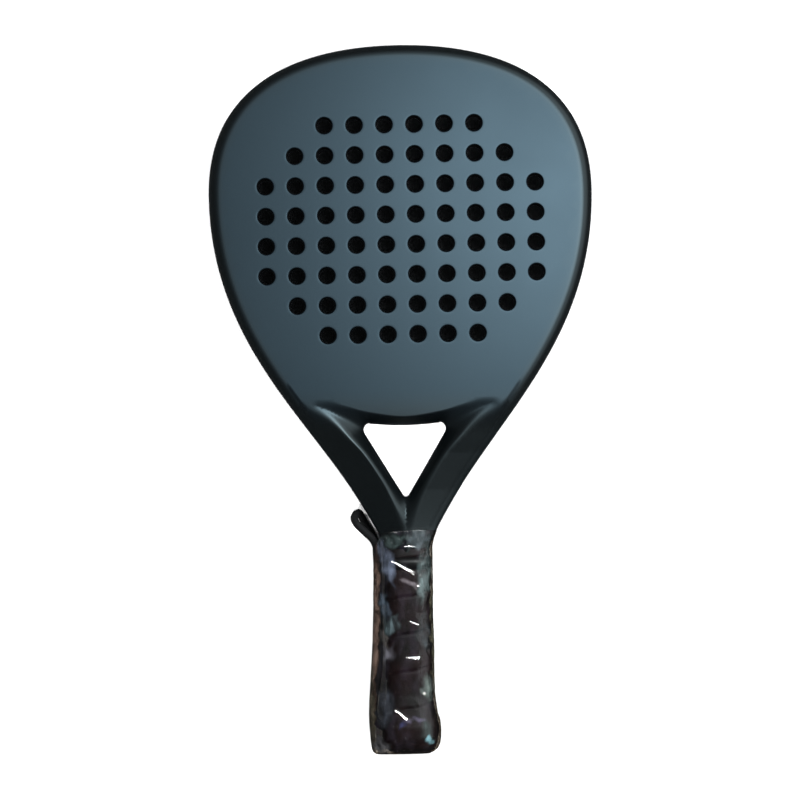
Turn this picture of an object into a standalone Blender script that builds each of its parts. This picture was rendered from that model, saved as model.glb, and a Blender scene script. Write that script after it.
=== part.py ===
"""Padel racket, lying on its rear face.

Metres. +X is to the player's right, +Y runs from the butt to the head's tip, and +Z is the
front face's normal. The origin is the middle of the resting surface under the whole racket.
"""

from math import cos, pi, radians, sin

import bmesh
import bpy
from mathutils import Vector

MM = 0.001
FIT_GAP = 0.3                    # clearance between neighbouring pieces, mm

# ---- driving dimensions, mm ----
LENGTH = 455.2                   # butt to tip
THICKNESS = 38.0                 # the rules' limit for the head
MID_Z = THICKNESS / 2
TIP_Y = LENGTH / 2
BUTT_Y = -LENGTH / 2

HALF_WIDTH = 122.9               # head's outline: widest point and the arm's corner
WIDEST_Y = 132.5
TIP_HANDLE = 64.6                # lengths of the outline's Bezier handles
UPPER_HANDLE = 72.3
LOWER_HANDLE = 86.0
ARM_HANDLE = 62.9
ARM_X, ARM_Y = 37.3, -53.2
ARM_ANGLE = radians(33.5)        # the arms' slant from the racket's axis
NECK_X, NECK_Y = 15.4, -94.0
NECK_HANDLE = 6.8

RIM_DEPTH = 14.0                 # the tube, from its outside to the core
RIM_ROUND = 7.0                  # rounded shoulder outside the flat face
TUBE_WALL = 2.6
SKIN = 1.2                       # each face laminate

HOLE_PITCH = 19.22
HOLE_DIAMETER = 10.5
HOLE_CENTRE_Y = 109.3
HOLE_ROWS = (6, 8, 10, 10, 10, 10, 8, 6)
HOLE_SIDES = 8

THROAT_TOP_Y = -15.5             # the triangular opening
THROAT_HALF = 27.6
THROAT_APEX_Y = -61.3
BRIDGE_TOP_Y = -6.5
BRIDGE_INSET = 2.0               # the crosspiece is this much lower than the head, on each face
BRIDGE_ROUND = 4.0
FACE_EDGE = ((61.0, 2.6), (40.0, -4.2), (19.0, -8.4), (0.0, -9.6))

LEG_HALF = 13.4                  # bare handle, half its width and half its depth
LEG_DEPTH = 11.2
LEG_GAP = 2.0                    # half the slot between the two legs
LEG_END_Y = -217.0

GRIP_TOP_Y = -95.0
GRIP_HALF = 15.9
GRIP_WALL = 1.9
GRIP_FLATTER = 1.3               # the handle is this much shallower than wide, on each side
BUTT_HALF = 18.9

FINISHING_WALL = 0.3
FINISHING_GAP = 0.2

CAP_TOP_Y = -198.0
CAP_WALL = 1.2

CORD_DIAMETER = 5.0
CORD_EXIT_Y = -210.2
CORD_SLOT = (16.0, 8.4, 12.0)
CORD_SPACING = 1.15              # from one point of the route to the next, in diameters
KNOT_RADII = (2.5, 4.4, 5.6)
STAPLE_WIRE = 0.7

FILM_WALL = 0.4
FILM_TOP_Y = -83.0


# ---- helpers ----
def clear_scene():
    for thing in list(bpy.data.objects):
        bpy.data.objects.remove(thing, do_unlink=True)


def collection(name):
    made = bpy.data.collections.new(name)
    bpy.context.scene.collection.children.link(made)
    return made


def material(name, colour, roughness, metallic=0.0, alpha=1.0):
    made = bpy.data.materials.new(name)
    made.use_nodes = True
    shader = made.node_tree.nodes["Principled BSDF"]
    shader.inputs["Base Color"].default_value = (*colour, 1.0)
    shader.inputs["Roughness"].default_value = roughness
    shader.inputs["Metallic"].default_value = metallic
    shader.inputs["Alpha"].default_value = alpha
    return made


def link(name, data, look=None, where=None):
    made = bpy.data.objects.new(name, data)
    (where or PARTS).objects.link(made)
    if look:
        data.materials.append(look)
    return made


def hide_as_cutter(cutter):
    cutter.hide_render = True
    cutter.display_type = "WIRE"
    return cutter


def subtract(target, cutter):
    cut = target.modifiers.new("cut_" + cutter.name, "BOOLEAN")
    cut.operation = "DIFFERENCE"
    cut.solver = "EXACT"
    cut.object = cutter


def thicken(target, wall):
    shell = target.modifiers.new("wall", "SOLIDIFY")
    shell.thickness = wall * MM
    shell.offset = -1.0


def bezier(start, start_pull, end_pull, end, steps):
    """Points of one cubic stretch, without its last point."""
    points = []
    for step in range(steps):
        t = step / steps
        s = 1.0 - t
        points.append(start * s ** 3 + start_pull * 3 * s * s * t
                      + end_pull * 3 * s * t * t + end * t ** 3)
    return points


def flat_piece(name, outlines, low, high, look=None, where=None):
    """A plate from closed outlines in plan; an outline inside another is a hole."""
    curve = bpy.data.curves.new(name, "CURVE")
    curve.dimensions = "2D"
    curve.fill_mode = "BOTH"
    curve.extrude = (high - low) / 2 * MM
    for outline in outlines:
        spline = curve.splines.new("POLY")
        spline.points.add(len(outline) - 1)
        for point, (x, y) in zip(spline.points, outline):
            point.co = (x * MM, y * MM, 0.0, 1.0)
        spline.use_cyclic_u = True
    made = link(name, curve, look, where)
    made.location.z = (low + high) / 2 * MM
    return made


def loft(name, rings, look=None, where=None, closed=False):
    """Skin over equal rings of points, mm; closed joins the last ring to the first."""
    count = len(rings[0])
    points = [Vector(point) * MM for ring in rings for point in ring]
    faces = []
    for row in range(len(rings) if closed else len(rings) - 1):
        below = row * count
        above = (row + 1) % len(rings) * count
        for side in range(count):
            after = (side + 1) % count
            faces.append((below + side, below + after, above + after, above + side))
    mesh = bpy.data.meshes.new(name)
    mesh.from_pydata(points, [], faces)
    mesh.shade_smooth()
    mesh.set_sharp_from_angle(angle=radians(35))
    return link(name, mesh, look, where)


def box(name, centre, size, where):
    bpy.ops.mesh.primitive_cube_add(size=1.0, location=[value * MM for value in centre])
    made = bpy.context.object
    made.name = name
    made.scale = [value * MM for value in size]
    bpy.ops.object.transform_apply(location=False, rotation=False, scale=True)
    for home in list(made.users_collection):
        home.objects.unlink(made)
    where.objects.link(made)
    return made


# ---- the outline ----
def right_outline(upper_steps=14, lower_steps=16, arm_steps=5):
    """The right half of the outer edge, from the tip down to the neck."""
    along_arm = Vector((-sin(ARM_ANGLE), -cos(ARM_ANGLE)))
    tip = Vector((0.0, TIP_Y))
    widest = Vector((HALF_WIDTH, WIDEST_Y))
    arm = Vector((ARM_X, ARM_Y))
    neck = Vector((NECK_X, NECK_Y))
    up = Vector((0.0, 1.0))
    points = bezier(tip, tip + Vector((TIP_HANDLE, 0)), widest + up * UPPER_HANDLE, widest, upper_steps)
    points += bezier(widest, widest - up * LOWER_HANDLE, arm - along_arm * ARM_HANDLE, arm, lower_steps)
    points += bezier(arm, arm, neck + up * NECK_HANDLE, neck, arm_steps)
    return points + [neck]


def inward(points, index):
    """The unit normal of the outline towards its inside."""
    if index == 0:
        return Vector((0.0, -1.0))
    before = points[index - 1]
    after = points[min(index + 1, len(points) - 1)]
    along = (after - before).normalized()
    return Vector((along.y, -along.x))


def mirrored(right_half):
    """Closes a half outline, which starts and ends on the axis, with its mirror image."""
    left = [Vector((-point.x, point.y)) for point in reversed(right_half) if abs(point.x) > 1e-6]
    return list(right_half) + left


def inset_outline(depth, lower_edge):
    """The head's outline moved inwards, closed below by the given edge."""
    points = right_outline()
    head = [point + inward(points, index) * depth for index, point in enumerate(points) if point.y > 1.0]
    return mirrored(head + [Vector(corner) for corner in lower_edge])


def throat_side_x(y):
    """The straight side of the throat opening, at a height on the racket's axis."""
    return THROAT_HALF * (y - THROAT_APEX_Y) / (THROAT_TOP_Y - THROAT_APEX_Y)


# ---- the frame's tube ----
WIDEN_FROM_Y, WIDEN_TO_Y = 12.0, -21.0     # the tube widens here, from the rim to the arm
ARM_END_Y = -60.0                           # below this the two arms run together
SLOT_TOP_Y = -44.0                          # where the slot between the legs starts, inside the arms


def inner_edge(point, normal):
    """Where the tube meets the core, the bridge, the opening or the slot between the legs."""
    if point.y >= WIDEN_FROM_Y:
        return point + normal * RIM_DEPTH
    to_throat = point + normal * side_distance(point, normal)
    if point.y >= WIDEN_TO_Y:
        share = (WIDEN_FROM_Y - point.y) / (WIDEN_FROM_Y - WIDEN_TO_Y)
        return (point + normal * RIM_DEPTH).lerp(to_throat, share)
    if point.y >= ARM_END_Y:
        return to_throat
    share = (ARM_END_Y - point.y) / (ARM_END_Y - NECK_Y)
    return Vector((LEG_GAP, SLOT_TOP_Y + (NECK_Y - SLOT_TOP_Y) * share))


def side_distance(point, normal):
    """How far the opening's straight side is from a point, along the normal."""
    slope = THROAT_HALF / (THROAT_TOP_Y - THROAT_APEX_Y)
    return (point.x - slope * (point.y - THROAT_APEX_Y)) / (slope * normal.y - normal.x)


def tube_section(outer, inner, arm_share, leg_share):
    """One ring of the tube between its outer and inner edges in plan.

    Each row is the upper half of a section: depth from the outer edge, height above the mid-plane.
    """
    width = (inner - outer).length
    top = THICKNESS / 2
    head = ((0.0, 9.0), (2.2, 16.6), (RIM_ROUND, top), (width - 1.0, top), (width, top - 1.0))
    arm = ((0.0, 6.0), (2.6, 13.0), (width * 0.62, 18.4), (width - 3.5, 14.0), (width, 9.5))
    leg = ((0.0, 4.2), (5.2, LEG_DEPTH), (width * 0.6, LEG_DEPTH), (width - 1.0, LEG_DEPTH),
           (width, LEG_DEPTH - 1.0))
    upper = []
    for at_head, at_arm, at_leg in zip(head, arm, leg):
        mixed = Vector(at_head).lerp(Vector(at_arm), arm_share).lerp(Vector(at_leg), leg_share)
        upper.append(mixed)
    across = (inner - outer).normalized()
    ring = []
    for depth, rise in [tuple(point) for point in upper] + [(p.x, -p.y) for p in reversed(upper)]:
        plan = outer + across * depth
        ring.append(Vector((plan.x, plan.y, MID_Z + rise)))
    return ring


def hollow_ring(ring):
    """The tube's inside at one ring: the same shape, shrunk by the wall."""
    outer, inner = ring[0], ring[len(ring) // 2 - 1]
    width = (Vector(outer.xy) - Vector(inner.xy)).length
    height = max(point.z for point in ring) - MID_Z
    middle = (outer + inner) / 2
    shrink_width = 1.0 - 2 * TUBE_WALL / width
    shrink_height = 1.0 - TUBE_WALL / height
    shrunk = []
    for point in ring:
        x = middle.x + (point.x - middle.x) * shrink_width
        y = middle.y + (point.y - middle.y) * shrink_width
        shrunk.append(Vector((x, y, MID_Z + (point.z - MID_Z) * shrink_height)))
    return shrunk


ARM_SHAPE_Y, ARM_SHAPE_LENGTH = -10.0, 20.0     # where the section turns from rim to arm
LEG_SHAPE_Y, LEG_SHAPE_LENGTH = -62.0, 30.0     # and from arm to leg


def share_below(y, start, length):
    return min(1.0, max(0.0, (start - y) / length))


def make_frame_tube():
    """Rim, arms and handle legs, in one hollow moulding that is open at the legs' ends."""
    points = right_outline()
    half = []
    for index, point in enumerate(points):
        edge = inner_edge(point, inward(points, index))
        arm_share = share_below(point.y, ARM_SHAPE_Y, ARM_SHAPE_LENGTH)
        leg_share = share_below(point.y, LEG_SHAPE_Y, LEG_SHAPE_LENGTH)
        half.append(tube_section(point, edge, arm_share, leg_share))
    for y in (NECK_Y - 0.6, -150.0, LEG_END_Y):
        half.append(tube_section(Vector((LEG_HALF, y)), Vector((LEG_GAP, y)), 1.0, 1.0))
    left = [[Vector((-p.x, p.y, p.z)) for p in ring] for ring in half[1:]]
    outside = list(reversed(left)) + half
    inside = [hollow_ring(ring) for ring in reversed(outside)]
    tube = loft("frame_tube", outside + inside, CARBON, closed=True)
    for seat in FACE_SEATS:
        subtract(tube, seat)
    return tube


# ---- the head ----
def hole_outlines():
    circles = []
    half_rows = (len(HOLE_ROWS) - 1) / 2
    for row, count in enumerate(HOLE_ROWS):
        y = HOLE_CENTRE_Y + (half_rows - row) * HOLE_PITCH
        for column in range(count):
            x = (column - (count - 1) / 2) * HOLE_PITCH
            circle = []
            for side in range(HOLE_SIDES):
                turn = 2 * pi * (side + 0.5) / HOLE_SIDES
                rim = Vector((cos(turn), sin(turn))) * HOLE_DIAMETER / 2
                circle.append(Vector((x, y)) + rim)
            circles.append(circle)
    return circles


def make_seats():
    """The recesses that the two faces lie in."""
    grown = inset_outline(RIM_ROUND - FIT_GAP, [(x * 1.01, y - 1.5 * FIT_GAP) for x, y in FACE_EDGE])
    depth = SKIN + FIT_GAP
    front = flat_piece("front_seat", [grown], THICKNESS - depth, THICKNESS + 5, None, CUTTERS)
    rear = flat_piece("rear_seat", [grown], -5, depth, None, CUTTERS)
    return [hide_as_cutter(meshed(cutter)) for cutter in (front, rear)]


def meshed(curve_object):
    """The same shape as a welded mesh, which a Boolean can use."""
    bpy.context.view_layer.update()
    graph = bpy.context.evaluated_depsgraph_get()
    mesh = bpy.data.meshes.new_from_object(curve_object.evaluated_get(graph))
    welded = bmesh.new()
    welded.from_mesh(mesh)
    bmesh.ops.remove_doubles(welded, verts=welded.verts, dist=1e-6)
    welded.to_mesh(mesh)
    welded.free()
    name = curve_object.name
    home = curve_object.users_collection[0]
    place = curve_object.matrix_world.copy()
    bpy.data.objects.remove(curve_object, do_unlink=True)
    made = bpy.data.objects.new(name, mesh)
    home.objects.link(made)
    made.matrix_world = place
    return made


def make_faces():
    outline = inset_outline(RIM_ROUND, FACE_EDGE)
    flat_piece("rear_face", [outline] + hole_outlines(), 0.0, SKIN, LAMINATE_REAR)
    flat_piece("front_face", [outline] + hole_outlines(), THICKNESS - SKIN, THICKNESS, LAMINATE)


def make_head_core():
    points = right_outline()
    inner = []
    for index, point in enumerate(points):
        if point.y < -20.0:
            break
        normal = inward(points, index)
        inner.append(inner_edge(point, normal) + normal * FIT_GAP)
    corner_x = throat_side_x(BRIDGE_TOP_Y) - 1.0
    inner = [point for point in inner if point.y > BRIDGE_TOP_Y + 2.0 and point.x > -1e-6]
    inner += [Vector((corner_x, BRIDGE_TOP_Y + FIT_GAP)), Vector((0.0, BRIDGE_TOP_Y + FIT_GAP))]
    low = SKIN + FIT_GAP
    flat_piece("head_core", [mirrored(inner)] + hole_outlines(), low, THICKNESS - low, FOAM)


def make_bridge():
    """The crosspiece that closes the head above the opening."""
    top_x = throat_side_x(BRIDGE_TOP_Y) - 2 * FIT_GAP
    low_x = throat_side_x(THROAT_TOP_Y) - 3 * FIT_GAP
    low_y = THROAT_TOP_Y - 1.0
    half = [Vector((0.0, BRIDGE_TOP_Y)), Vector((top_x, BRIDGE_TOP_Y)), Vector((low_x, low_y))]
    for step in range(1, 4):
        turn = step / 3 * pi / 2
        corner = Vector((-0.9 * sin(turn), 1 - cos(turn))) * BRIDGE_ROUND
        half.append(Vector((low_x, low_y)) + corner)
    half.append(Vector((0.0, THROAT_TOP_Y + 0.6)))
    top = THICKNESS - BRIDGE_INSET
    return meshed(flat_piece("throat_bridge", [mirrored(half)], BRIDGE_INSET, top, CARBON_BRIDGE))


# ---- the handle ----
def make_handle_core():
    """The filler between the frame's two legs; its round end is the opening's lowest point."""
    half = LEG_GAP - FIT_GAP
    top = THROAT_APEX_Y + 0.2
    outline = [Vector((-half, LEG_END_Y)), Vector((half, LEG_END_Y)), Vector((half, top - 0.8)),
               Vector((half * 0.5, top)), Vector((-half * 0.5, top)), Vector((-half, top - 0.8))]
    low = MID_Z - LEG_DEPTH + 1.0
    flat_piece("handle_core", [outline], low, THICKNESS - low, FOAM_HANDLE)


def handle_ring(y, half_x, half_z):
    """A rounded eight-sided section of the handle."""
    count = 16
    power = 0.62
    ring = []
    for step in range(count):
        turn = 2 * pi * (step + 0.5) / count
        x = half_x * abs(cos(turn)) ** power * (1 if cos(turn) > 0 else -1)
        z = half_z * abs(sin(turn)) ** power * (1 if sin(turn) > 0 else -1)
        ring.append(Vector((x, y, MID_Z + z)))
    return ring


def make_butt_cap():
    """A plastic cup on the legs' ends, flared, with a side slot for the wrist cord."""
    collar = LEG_HALF + 0.4 + CAP_WALL
    flare = BUTT_HALF - GRIP_WALL - FIT_GAP
    stations = ((CAP_TOP_Y, collar), (-203.0, collar + 0.7), (-211.0, flare), (-224.5, flare),
                (-226.9, flare - 1.4))
    rings = [handle_ring(y, half, half - GRIP_FLATTER) for y, half in stations]
    rings.append(handle_ring(-227.2, 3.0, 3.0))
    cap = loft("butt_cap", rings, PLASTIC)
    thicken(cap, CAP_WALL)
    return cap


def make_grip():
    """The cushioned tape, wound over the handle and the cap's flare."""
    stations = ((GRIP_TOP_Y, 15.5), (-100.0, GRIP_HALF), (-150.0, GRIP_HALF),
                (-190.0, GRIP_HALF + 0.1), (-197.0, GRIP_HALF + 1.5), (-203.0, GRIP_HALF + 2.3),
                (-211.0, BUTT_HALF), (-223.6, BUTT_HALF))
    rings = [handle_ring(y, half, half - GRIP_FLATTER) for y, half in stations]
    grip = loft("grip_tape", rings, RUBBER)
    thicken(grip, GRIP_WALL)
    return grip


def make_finishing_tape():
    """The band that holds the end of the grip's winding."""
    outside = GRIP_HALF + FINISHING_GAP + FINISHING_WALL
    rings = [handle_ring(y, outside, outside - GRIP_FLATTER) for y in (-101.0, -109.0)]
    band = loft("finishing_tape", rings, TAPE)
    thicken(band, FINISHING_WALL)
    return band


def film_ring(y, left, right, half_z, droop=0.0):
    """The film's section: round the grip, and drawn out over the folded cord on its left."""
    outline = [(right, 7.0), (right - 2.6, half_z - 2.6), (right - 8.0, half_z), (0.0, half_z),
               (-10.0, half_z - 0.4), (-(left + 13.5) / 2, half_z * 0.68), (-left + 0.8, 6.6), (-left, 3.4)]
    ring = [Vector((x, y - droop * max(0.0, -x - 8.0) / left, MID_Z + z)) for x, z in outline]
    return ring + [Vector((p.x, p.y, 2 * MID_Z - p.z)) for p in reversed(ring)]


def make_film():
    """The clear wrapper on the new grip."""
    stations = ((FILM_TOP_Y, 23.8, 20.6, 16.3, 18.0), (-94.0, 23.4, 17.4, 15.8, 10.0),
                (-104.0, 22.6, 17.1, 15.7), (-160.0, 22.6, 17.1, 15.7), (-188.0, 25.2, 17.2, 16.0),
                (-201.0, 27.2, 18.8, 17.4), (-211.0, 26.4, 20.0, 18.6), (-222.0, 25.0, 20.0, 18.6),
                (BUTT_Y, 23.6, 18.8, 17.6))
    rings = [film_ring(*station) for station in stations]
    film = loft("film_sleeve", list(reversed(rings)), FILM)
    thicken(film, FILM_WALL)
    return film


def make_staple():
    """The staple that holds the tape's start on the cap's end."""
    wire = bpy.data.curves.new("grip_staple", "CURVE")
    wire.dimensions = "3D"
    wire.bevel_depth = STAPLE_WIRE / 2 * MM
    wire.bevel_resolution = 1
    wire.use_fill_caps = True
    spline = wire.splines.new("POLY")
    route = ((-4.0, -221.6, 9.5), (-4.0, -221.6, 8.0), (4.0, -221.6, 8.0), (4.0, -221.6, 9.5))
    spline.points.add(len(route) - 1)
    for point, place in zip(spline.points, route):
        point.co = (*[value * MM for value in place], 1.0)
    return link("grip_staple", wire, STEEL)


# ---- the wrist cord ----
CORD_ROUTE = (
    (-10.5, -210.8, 21.9), (-13.5, -210.8, 21.9), (-18.5, -209.5, 21.9), (-22.1, -205.8, 21.9),
    (-23.5, -200.8, 21.9), (-22.9, -192.0, 21.8), (-21.0, -182.0, 21.8), (-19.3, -168.0, 21.7),
    (-19.0, -150.0, 21.7), (-19.0, -130.0, 21.7), (-19.0, -112.0, 21.7), (-19.1, -102.0, 22.0),
    (-19.5, -95.4, 23.2), (-22.0, -89.2, 25.8), (-27.4, -83.9, 28.0), (-31.6, -79.6, 28.2),
    (-33.4, -76.0, 24.8), (-32.7, -73.2, 19.4), (-30.8, -72.2, 14.0), (-29.4, -73.8, 10.4),
    (-27.0, -78.4, 8.9), (-23.7, -83.6, 10.2), (-21.0, -88.8, 12.9), (-19.4, -94.4, 15.0),
    (-19.2, -101.0, 16.0), (-19.0, -112.0, 16.3), (-19.0, -130.0, 16.3), (-19.0, -150.0, 16.3),
    (-19.3, -168.0, 16.3), (-21.0, -182.0, 16.2), (-22.9, -192.0, 16.2), (-23.5, -200.8, 16.1),
    (-22.1, -205.8, 16.1), (-18.5, -209.5, 16.1), (-13.5, -210.8, 16.1), (-10.5, -210.8, 16.1),
)


def smooth_route(route, spacing):
    """Evenly spaced points on a Catmull-Rom curve through the route's points."""
    places = [Vector(place) for place in route]
    places = [places[0] * 2 - places[1]] + places + [places[-1] * 2 - places[-2]]
    fine = []
    steps = 24
    for index in range(1, len(places) - 2):
        before, start, end, after = places[index - 1:index + 3]
        for step in range(steps):
            t = step / steps
            fine.append(0.5 * (2 * start + (end - before) * t
                               + (2 * before - 5 * start + 4 * end - after) * t * t
                               + (3 * start - before - 3 * end + after) * t ** 3))
    fine.append(places[-2])
    travelled = [0.0]
    for first, second in zip(fine, fine[1:]):
        travelled.append(travelled[-1] + (second - first).length)
    count = round(travelled[-1] / spacing)
    even = []
    cursor = 0
    for number in range(count + 1):
        target = travelled[-1] * number / count
        while cursor < len(fine) - 2 and travelled[cursor + 1] < target:
            cursor += 1
        span = travelled[cursor + 1] - travelled[cursor]
        even.append(fine[cursor].lerp(fine[cursor + 1], (target - travelled[cursor]) / span))
    return even


def make_cord():
    points = smooth_route(CORD_ROUTE, CORD_DIAMETER * CORD_SPACING)
    cord = bpy.data.curves.new("wrist_cord", "CURVE")
    cord.dimensions = "3D"
    cord.bevel_depth = CORD_DIAMETER / 2 * MM
    cord.bevel_resolution = 2
    cord.use_fill_caps = True
    spline = cord.splines.new("POLY")
    spline.points.add(len(points) - 1)
    for point, place in zip(spline.points, points):
        point.co = (*(place * MM), 1.0)
    return link("wrist_cord", cord, CORD)


def make_knot():
    """The knot that keeps the cord's two ends inside the cap."""
    bpy.ops.mesh.primitive_uv_sphere_add(segments=12, ring_count=8, radius=1.0,
                                         location=(-7.4 * MM, CORD_EXIT_Y * MM, MID_Z * MM))
    knot = bpy.context.object
    knot.name = "cord_knot"
    knot.scale = [radius * MM for radius in KNOT_RADII]
    bpy.ops.object.transform_apply(location=False, rotation=False, scale=True)
    knot.data.materials.append(CORD_KNOT)
    knot.data.shade_smooth()
    for home in list(knot.users_collection):
        home.objects.unlink(knot)
    PARTS.objects.link(knot)
    return knot


def make_cord_slot(*pieces):
    centre = (-17.0, CORD_EXIT_Y, MID_Z)
    slot = hide_as_cutter(box("cord_slot", centre, CORD_SLOT, CUTTERS))
    for piece in pieces:
        subtract(piece, slot)


clear_scene()
PARTS = collection("padel_racket")
CUTTERS = collection("cutters")
CARBON = material("carbon_frame", (0.030, 0.036, 0.042), 0.45)
CARBON_BRIDGE = material("carbon_bridge", (0.030, 0.036, 0.042), 0.45)
LAMINATE = material("front_laminate", (0.050, 0.066, 0.080), 0.48)
LAMINATE_REAR = material("rear_laminate", (0.050, 0.066, 0.080), 0.48)
FOAM = material("head_foam", (0.85, 0.85, 0.82), 0.9)
FOAM_HANDLE = material("handle_foam", (0.20, 0.20, 0.20), 0.9)
PLASTIC = material("cap_plastic", (0.015, 0.015, 0.016), 0.5)
RUBBER = material("grip_polyurethane", (0.022, 0.014, 0.015), 0.6)
TAPE = material("finishing_vinyl", (0.012, 0.012, 0.013), 0.35)
FILM = material("clear_film", (0.75, 0.80, 0.82), 0.12, alpha=0.25)
CORD = material("cord_polyester", (0.010, 0.010, 0.010), 0.85)
CORD_KNOT = material("knot_polyester", (0.010, 0.010, 0.010), 0.85)
STEEL = material("staple_steel", (0.55, 0.55, 0.55), 0.35, 1.0)

FACE_SEATS = make_seats()
tube = make_frame_tube()
make_faces()
make_head_core()
bridge = make_bridge()
for seat in FACE_SEATS:
    subtract(bridge, seat)
make_handle_core()
cap = make_butt_cap()
grip = make_grip()
make_cord_slot(tube, cap, grip)
make_finishing_tape()
make_staple()
make_cord()
make_knot()
make_film()
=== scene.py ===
"""Looks of the padel racket: a painted carbon moulding with a film-wrapped new grip.

Metres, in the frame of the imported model: +Y from butt to tip, +Z out of the front face.
"""

from math import cos, pi, radians, sin

import bmesh
import bpy
import numpy as np
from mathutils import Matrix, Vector, noise
from mathutils.geometry import delaunay_2d_cdt


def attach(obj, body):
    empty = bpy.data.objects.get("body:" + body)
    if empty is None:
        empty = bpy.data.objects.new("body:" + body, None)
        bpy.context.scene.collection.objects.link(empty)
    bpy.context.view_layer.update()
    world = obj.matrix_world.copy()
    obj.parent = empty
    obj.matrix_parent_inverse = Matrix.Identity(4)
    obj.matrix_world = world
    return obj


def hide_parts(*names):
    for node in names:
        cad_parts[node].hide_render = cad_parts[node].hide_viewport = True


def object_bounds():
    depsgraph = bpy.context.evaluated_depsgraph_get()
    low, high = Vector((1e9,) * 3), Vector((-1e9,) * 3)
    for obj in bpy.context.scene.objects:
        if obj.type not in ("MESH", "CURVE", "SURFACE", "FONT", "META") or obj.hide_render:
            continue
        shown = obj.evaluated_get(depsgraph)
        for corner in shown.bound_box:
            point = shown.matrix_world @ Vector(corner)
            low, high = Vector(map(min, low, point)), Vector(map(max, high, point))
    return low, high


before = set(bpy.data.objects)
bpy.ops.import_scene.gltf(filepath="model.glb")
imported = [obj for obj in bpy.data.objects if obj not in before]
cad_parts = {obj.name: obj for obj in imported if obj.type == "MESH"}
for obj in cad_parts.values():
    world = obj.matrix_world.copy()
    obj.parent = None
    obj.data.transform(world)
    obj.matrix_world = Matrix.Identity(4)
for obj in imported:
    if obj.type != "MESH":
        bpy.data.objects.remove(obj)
CAD_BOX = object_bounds()

MM = 0.001
LOW, HIGH = (Vector(corner) for corner in CAD_BOX)
THICKNESS = (HIGH.z - LOW.z) / MM
MID_Z = LOW.z / MM + THICKNESS / 2
TIP_Y = HIGH.y / MM


# ---------------------------------------------------------------- camera
VIEW_WIDTH = 0.5124              # metres across the picture, at the front face
CAMERA_DISTANCE = 4.4
CAMERA_TURN = radians(-1.11)
CAMERA_AIM = (-0.00267, -0.0001)


def make_camera():
    data = bpy.data.cameras.new("camera")
    data.sensor_width = 36.0
    data.lens = data.sensor_width * CAMERA_DISTANCE / VIEW_WIDTH
    data.dof.use_dof = False
    camera = bpy.data.objects.new("camera", data)
    camera.location = (*CAMERA_AIM, HIGH.z + CAMERA_DISTANCE)
    camera.rotation_euler = (0.0, 0.0, CAMERA_TURN)
    bpy.context.scene.collection.objects.link(camera)
    bpy.context.scene.camera = camera


# ---------------------------------------------------------------- node materials
class Nodes:
    """A short way to write a material's nodes."""

    def __init__(self, name):
        self.material = bpy.data.materials.new(name)
        self.material.use_nodes = True
        self.tree = self.material.node_tree
        self.shader = self.tree.nodes["Principled BSDF"]
        self.place = self.add("ShaderNodeTexCoord").outputs["Object"]

    def add(self, kind, inputs=None, **settings):
        node = self.tree.nodes.new(kind)
        for key, value in settings.items():
            setattr(node, key, value)
        for key, value in (inputs or {}).items():
            self.put(node.inputs[key], value)
        return node

    def put(self, socket, value):
        if isinstance(value, bpy.types.NodeSocket):
            self.tree.links.new(value, socket)
        else:
            socket.default_value = value

    def noise(self, scale, detail=3.0, roughness=0.55, place=None):
        made = self.add("ShaderNodeTexNoise", {"Vector": place or self.place, "Scale": scale,
                                               "Detail": detail, "Roughness": roughness})
        return made.outputs["Fac"]

    def stretch(self, scale):
        made = self.add("ShaderNodeMapping", {"Vector": self.place, "Scale": scale})
        return made.outputs["Vector"]

    def ramp(self, value, low, high, from_low=0.0, from_high=1.0):
        made = self.add("ShaderNodeMapRange", {"Value": value, "From Min": from_low, "From Max": from_high,
                                               "To Min": low, "To Max": high})
        return made.outputs["Result"]

    def mix(self, share, first, second):
        made = self.add("ShaderNodeMix", data_type="RGBA")
        self.put(made.inputs[0], share)
        self.put(made.inputs[6], first if isinstance(first, bpy.types.NodeSocket) else (*first, 1.0))
        self.put(made.inputs[7], second if isinstance(second, bpy.types.NodeSocket) else (*second, 1.0))
        return made.outputs[2]

    def math(self, kind, first, second=0.0):
        made = self.add("ShaderNodeMath", operation=kind)
        self.put(made.inputs[0], first)
        self.put(made.inputs[1], second)
        return made.outputs[0]

    def bump(self, height, strength, distance, normal=None):
        inputs = {"Height": height, "Strength": strength, "Distance": distance}
        if normal:
            inputs["Normal"] = normal
        return self.add("ShaderNodeBump", inputs).outputs["Normal"]

    def finish(self, **sockets):
        names = {"colour": "Base Color", "roughness": "Roughness", "normal": "Normal",
                 "metallic": "Metallic", "specular": "Specular IOR Level", "ior": "IOR",
                 "tint": "Specular Tint"}
        for key, value in sockets.items():
            if isinstance(value, tuple):
                value = (*value, 1.0)
            self.put(self.shader.inputs[names[key]], value)
        return self.material


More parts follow.
